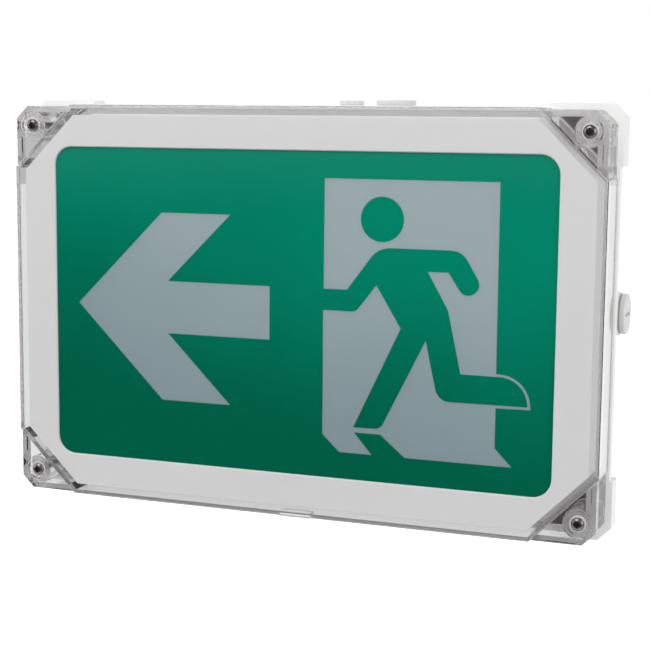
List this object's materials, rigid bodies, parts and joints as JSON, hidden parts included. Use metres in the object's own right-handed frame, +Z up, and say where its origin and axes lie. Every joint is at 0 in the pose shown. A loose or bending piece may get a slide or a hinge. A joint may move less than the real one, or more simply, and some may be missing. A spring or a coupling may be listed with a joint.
{
  "type": "emergency exit light",
  "caption": "Weatherproof wall-mounted emergency exit light: white base, clear cover screwed at its corners, and a green exit sign panel with an arrow.",
  "frame": {"origin": "centre of the wall-fixing holes, on the wall plane at the back of the base", "axes": "+X to the right across the sign, +Y into the wall, +Z up; the sign faces -Y"},
  "size_m": [0.401, 0.072, 0.2655],
  "materials": {
    "housing_white": "fine satin moulding",
    "gasket_rubber": "matt",
    "clear_plastic": "clear polycarbonate, polished",
    "screw_steel": "stainless",
    "washer_steel": "stainless, bright",
    "insert_brass": "machined",
    "frame_white": "smooth satin",
    "legend_green": "printed sign panel, smooth",
    "spacer_white": "foam",
    "diffuser_opal": "opal, satin",
    "tray_white": "white enamel",
    "strip_board": "white solder resist",
    "led_chip": "phosphor window",
    "driver_plastic": "moulded",
    "circuit_board": "green resist",
    "battery_sleeve": "shrink sleeve",
    "clip_steel": "spring steel",
    "terminal_plastic": "moulded",
    "plug_white": "moulded",
    "vent_grey": "moulded",
    "spring_steel": "drawn wire",
    "switch_black": "moulded",
    "lamp_clear": "cast lens",
    "lens_green": "moulded light pipe",
    "lead_red": "insulation",
    "lead_white": "insulation",
    "button_red": "moulded"
  },
  "bodies": {
    "housing": {"base_housing": "housing_white", "battery_clip_left": "clip_steel", "battery_clip_right": "clip_steel", "battery_lead": "lead_red", "battery_pack": "battery_sleeve", "breather_vent": "vent_grey", "button_barrel": "vent_grey", "button_nut": "vent_grey", "button_seal": "gasket_rubber", "button_spring": "spring_steel", "cable_saddle": "terminal_plastic", "charge_lamp": "lamp_clear", "charge_lens": "lens_green", "clear_cover": "clear_plastic", "clip_screws": "screw_steel", "cover_gasket": "gasket_rubber", "cover_inserts": "insert_brass", "cover_screws": "screw_steel", "cover_washers": "washer_steel", "diffuser_panel": "diffuser_opal", "driver_board": "circuit_board", "driver_case": "driver_plastic", "driver_lid": "driver_plastic", "driver_screws": "screw_steel", "entry_plug_left": "plug_white", "entry_plug_right": "plug_white", "entry_plug_top": "plug_white", "lamp_lead": "lead_white", "led_chips_lower": "led_chip", "led_chips_middle": "led_chip", "led_chips_upper": "led_chip", "led_strip_lower": "strip_board", "led_strip_middle": "strip_board", "led_strip_upper": "strip_board", "legend_panel": "legend_green", "mains_lead": "lead_white", "panel_spacer": "spacer_white", "plug_seal_left": "gasket_rubber", "plug_seal_right": "gasket_rubber", "plug_seal_top": "gasket_rubber", "reflector_tray": "tray_white", "saddle_screws": "screw_steel", "sign_frame": "frame_white", "status_board": "circuit_board", "strip_screws": "screw_steel", "tact_switch": "switch_black", "terminal_block": "terminal_plastic", "terminal_fixings": "screw_steel", "terminal_screws": "insert_brass", "tray_screws": "screw_steel", "vent_seal": "gasket_rubber", "wall_grommets": "gasket_rubber"},
    "button": {"test_button": "button_red"}
  },
  "joints": [
    {"name": "test_button_press", "type": "slide", "parent": "housing", "child": "button", "axis": [0, 0, 1], "range_m": [0, 0.0025], "stiffness_N_per_m": 300, "springref_m": -0.003, "deforming": ["button_spring"]}
  ]
}
